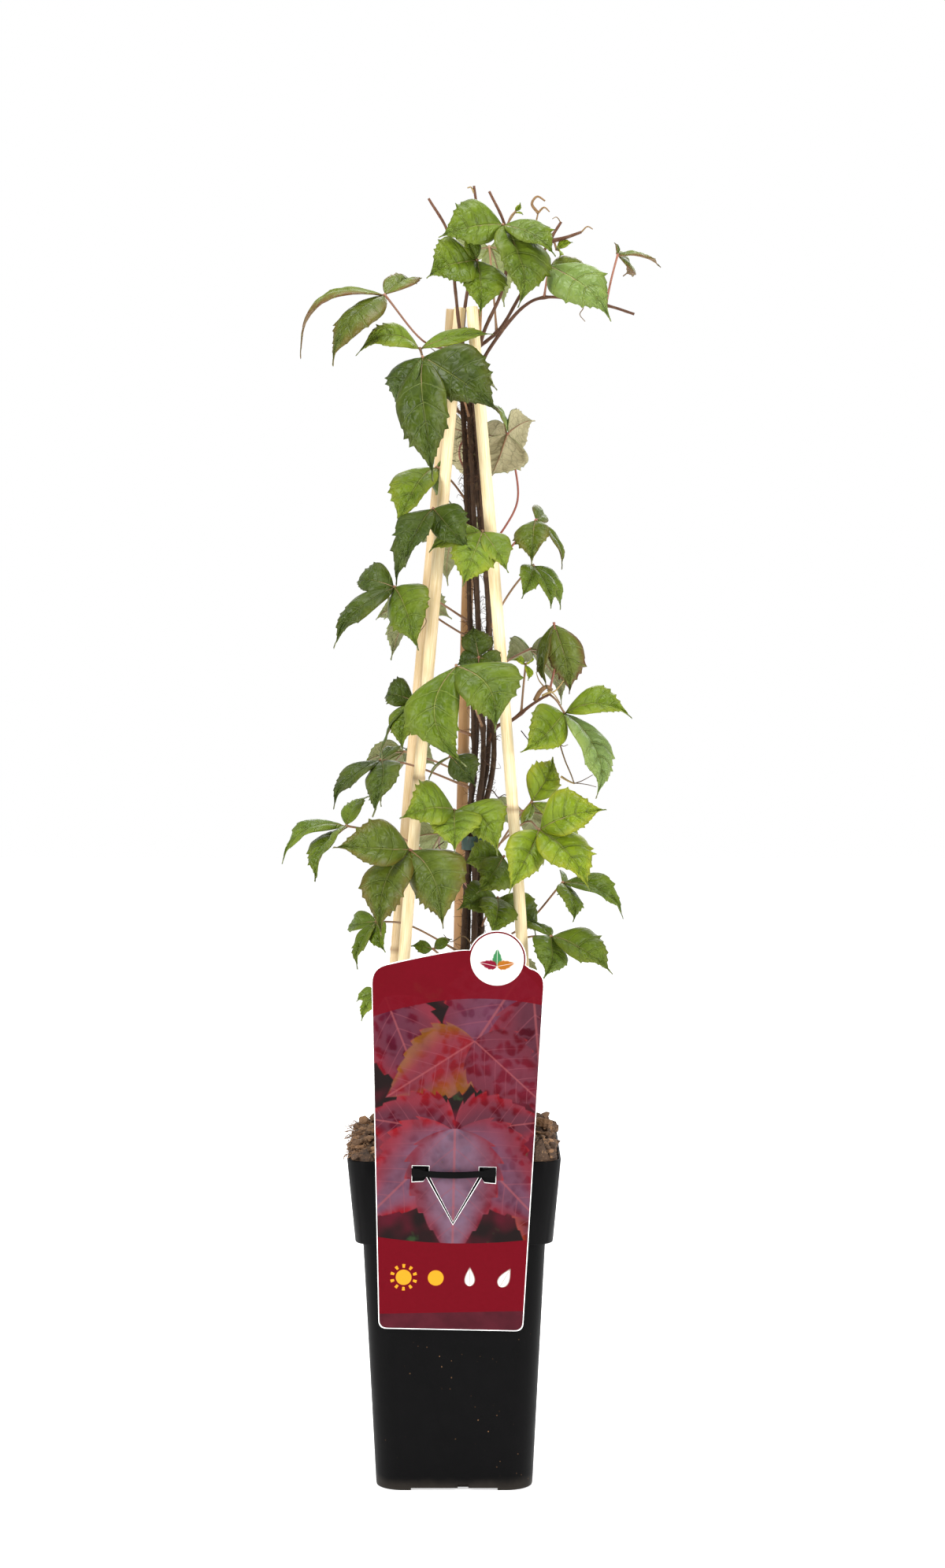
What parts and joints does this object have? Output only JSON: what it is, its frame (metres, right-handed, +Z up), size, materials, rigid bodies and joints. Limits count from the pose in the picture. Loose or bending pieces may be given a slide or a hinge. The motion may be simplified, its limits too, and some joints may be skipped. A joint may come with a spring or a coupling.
{
  "type": "potted boston ivy",
  "caption": "Climbing plant with three-part toothed leaves tied to a pyramid of canes in a tall square nursery pot, with a hanging label.",
  "frame": {"origin": "middle of the pot's base, on the surface that it stands on", "axes": "+Z up the plant, -Y toward the front with the label, +X to the right seen from the front"},
  "size_m": [0.2159, 0.1438, 0.7371],
  "materials": {
    "pot_plastic": "black injection-moulded plastic, half matt",
    "soil": "damp peat and bark, rough",
    "bamboo": "pale dry cane, satin",
    "tie_plastic": "dark green soft plastic",
    "label_plastic": "printed plastic card, satin",
    "foliage": "glossy green leaves on brown woody stems"
  },
  "bodies": {
    "root": {"pot": "pot_plastic", "soil": "soil", "cane_front_left": "bamboo", "cane_front_right": "bamboo", "cane_back_left": "bamboo", "cane_back_right": "bamboo", "tie_upper": "tie_plastic", "tie_lower": "tie_plastic", "label": "label_plastic", "stem_front": "foliage", "stem_right": "foliage", "stem_back_right": "foliage", "stem_back_left": "foliage", "stem_left": "foliage"}
  },
  "joints": []
}
